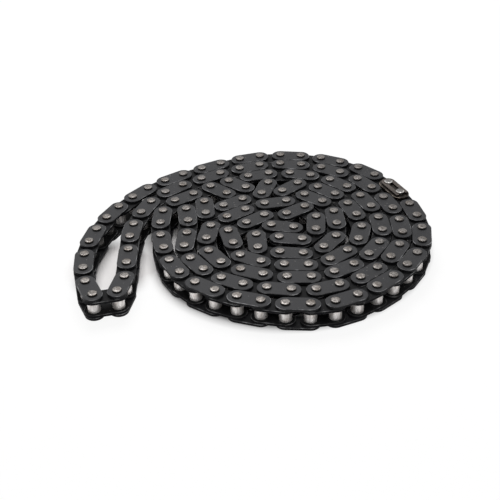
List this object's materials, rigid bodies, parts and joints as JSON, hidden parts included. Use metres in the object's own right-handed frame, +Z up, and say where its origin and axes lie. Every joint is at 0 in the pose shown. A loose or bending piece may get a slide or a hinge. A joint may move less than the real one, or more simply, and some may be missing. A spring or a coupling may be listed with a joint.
{
  "type": "roller chain",
  "caption": "Closed loop of short-pitch steel drive chain, folded double and coiled flat, with a spring-clip connecting link and a hairpin end that swings.",
  "frame": {"origin": "centre of the coil's outline on the surface it lies on", "axes": "+Z up along the pins, +X along the coil's longest extent, from the hairpin end towards the coil"},
  "size_m": [0.1464, 0.1232, 0.0123],
  "materials": {
    "dark_plate": "satin black oxide",
    "pin_steel": "bare ground steel with peened ends",
    "bush_steel": "bright rolled steel",
    "bronzed_plate": "tempered brown steel",
    "clip_steel": "tempered brown spring steel"
  },
  "bodies": {
    "coil": {"first_turn_outer_plates_upper": "dark_plate", "first_turn_inner_plates_upper": "dark_plate", "first_turn_outer_plates_lower": "dark_plate", "first_turn_inner_plates_lower": "dark_plate", "first_turn_pins": "pin_steel", "first_turn_bushes": "bush_steel", "inner_turns_outer_plates_upper": "dark_plate", "inner_turns_inner_plates_upper": "dark_plate", "inner_turns_outer_plates_lower": "dark_plate", "inner_turns_inner_plates_lower": "dark_plate", "inner_turns_pins": "pin_steel", "inner_turns_bushes": "bush_steel", "connecting_pin_plate": "bronzed_plate", "connecting_pins": "pin_steel", "connecting_cover_plate": "bronzed_plate"},
    "clip": {"spring_clip": "clip_steel"},
    "swing_link_01": {"swing_link_01_upper_plate": "dark_plate", "swing_link_01_lower_plate": "dark_plate", "swing_link_01_pins": "pin_steel"},
    "swing_link_02": {"swing_link_02_upper_plate": "dark_plate", "swing_link_02_lower_plate": "dark_plate", "swing_link_02_bushes": "bush_steel"},
    "swing_link_03": {"swing_link_03_upper_plate": "dark_plate", "swing_link_03_lower_plate": "dark_plate", "swing_link_03_pins": "pin_steel"},
    "swing_link_04": {"swing_link_04_upper_plate": "dark_plate", "swing_link_04_lower_plate": "dark_plate", "swing_link_04_bushes": "bush_steel"},
    "swing_link_05": {"swing_link_05_upper_plate": "dark_plate", "swing_link_05_lower_plate": "dark_plate", "swing_link_05_pins": "pin_steel"},
    "swing_link_06": {"swing_link_06_upper_plate": "dark_plate", "swing_link_06_lower_plate": "dark_plate", "swing_link_06_bushes": "bush_steel"},
    "swing_link_07": {"swing_link_07_upper_plate": "dark_plate", "swing_link_07_lower_plate": "dark_plate", "swing_link_07_pins": "pin_steel"},
    "swing_link_08": {"swing_link_08_upper_plate": "dark_plate", "swing_link_08_lower_plate": "dark_plate", "swing_link_08_bushes": "bush_steel"},
    "swing_link_13": {"swing_link_13_upper_plate": "dark_plate", "swing_link_13_lower_plate": "dark_plate", "swing_link_13_pins": "pin_steel"},
    "swing_link_12": {"swing_link_12_upper_plate": "dark_plate", "swing_link_12_lower_plate": "dark_plate", "swing_link_12_bushes": "bush_steel"},
    "swing_link_11": {"swing_link_11_upper_plate": "dark_plate", "swing_link_11_lower_plate": "dark_plate", "swing_link_11_pins": "pin_steel"},
    "swing_link_10": {"swing_link_10_upper_plate": "dark_plate", "swing_link_10_lower_plate": "dark_plate", "swing_link_10_bushes": "bush_steel"},
    "swing_link_09": {"swing_link_09_upper_plate": "dark_plate", "swing_link_09_lower_plate": "dark_plate", "swing_link_09_pins": "pin_steel"}
  },
  "joints": [
    {"name": "hinge_01", "type": "hinge", "parent": "coil", "child": "swing_link_01", "pos_m": [-0.05829, 0.01617, 0.00581], "axis": [0, 0, 1], "range_deg": [-25, 20]},
    {"name": "hinge_02", "type": "hinge", "parent": "swing_link_01", "child": "swing_link_02", "pos_m": [-0.06275, 0.00775, 0.00581], "axis": [0, 0, 1], "range_deg": [-5.3, 6.6]},
    {"name": "hinge_03", "type": "hinge", "parent": "swing_link_02", "child": "swing_link_03", "pos_m": [-0.06609, -0.00117, 0.00581], "axis": [0, 0, 1], "range_deg": [-3.5, 4.4]},
    {"name": "hinge_04", "type": "hinge", "parent": "swing_link_03", "child": "swing_link_04", "pos_m": [-0.06831, -0.01043, 0.00581], "axis": [0, 0, 1], "range_deg": [-3.5, 4.4]},
    {"name": "hinge_05", "type": "hinge", "parent": "swing_link_04", "child": "swing_link_05", "pos_m": [-0.06924, -0.01991, 0.00581], "axis": [0, 0, 1], "range_deg": [-5.5, 6.9]},
    {"name": "hinge_06", "type": "hinge", "parent": "swing_link_05", "child": "swing_link_06", "pos_m": [-0.06872, -0.02942, 0.00581], "axis": [0, 0, 1], "range_deg": [-5.1, 6.4]},
    {"name": "hinge_07", "type": "hinge", "parent": "swing_link_06", "child": "swing_link_07", "pos_m": [-0.06682, -0.03875, 0.00581], "axis": [0, 0, 1], "range_deg": [-4.4, 3.5]},
    {"name": "hinge_08", "type": "hinge", "parent": "swing_link_07", "child": "swing_link_08", "pos_m": [-0.06311, -0.04752, 0.00581], "axis": [0, 0, 1], "range_deg": [-19.6, 15.7]},
    {"name": "hinge_13", "type": "hinge", "parent": "coil", "child": "swing_link_13", "pos_m": [-0.05084, 0.00184, 0.00581], "axis": [0, 0, 1], "range_deg": [-24.1, 19.3]},
    {"name": "hinge_12", "type": "hinge", "parent": "swing_link_13", "child": "swing_link_12", "pos_m": [-0.05178, -0.00764, 0.00581], "axis": [0, 0, 1], "range_deg": [-4.1, 5.1]},
    {"name": "hinge_11", "type": "hinge", "parent": "swing_link_12", "child": "swing_link_11", "pos_m": [-0.05166, -0.01717, 0.00581], "axis": [0, 0, 1], "range_deg": [-4.4, 5.5]},
    {"name": "hinge_10", "type": "hinge", "parent": "swing_link_11", "child": "swing_link_10", "pos_m": [-0.05166, -0.02669, 0.00581], "axis": [0, 0, 1], "range_deg": [-6.2, 7.7]},
    {"name": "hinge_09", "type": "hinge", "parent": "swing_link_10", "child": "swing_link_09", "pos_m": [-0.05174, -0.03621, 0.00581], "axis": [0, 0, 1], "range_deg": [-4.8, 5.9]},
    {"name": "clip_slide", "type": "slide", "parent": "coil", "child": "clip", "axis": [-0.4206, 0.9072, 0], "range_m": [0, 0.0026], "deforming": ["spring_clip"]}
  ],
  "couplings": [
    {"joint": "hinge_02", "follows": "hinge_01", "ratio": -0.25639},
    {"joint": "hinge_03", "follows": "hinge_01", "ratio": -0.16995},
    {"joint": "hinge_04", "follows": "hinge_01", "ratio": -0.16999},
    {"joint": "hinge_05", "follows": "hinge_01", "ratio": -0.2675},
    {"joint": "hinge_06", "follows": "hinge_01", "ratio": -0.24859},
    {"joint": "hinge_07", "follows": "hinge_01", "ratio": 0.16989},
    {"joint": "hinge_08", "follows": "hinge_01", "ratio": 0.76858},
    {"joint": "hinge_13", "follows": "hinge_01", "ratio": 0.94169},
    {"joint": "hinge_12", "follows": "hinge_01", "ratio": -0.1969},
    {"joint": "hinge_11", "follows": "hinge_01", "ratio": -0.21357},
    {"joint": "hinge_10", "follows": "hinge_01", "ratio": -0.30022},
    {"joint": "hinge_09", "follows": "hinge_01", "ratio": -0.23051}
  ]
}
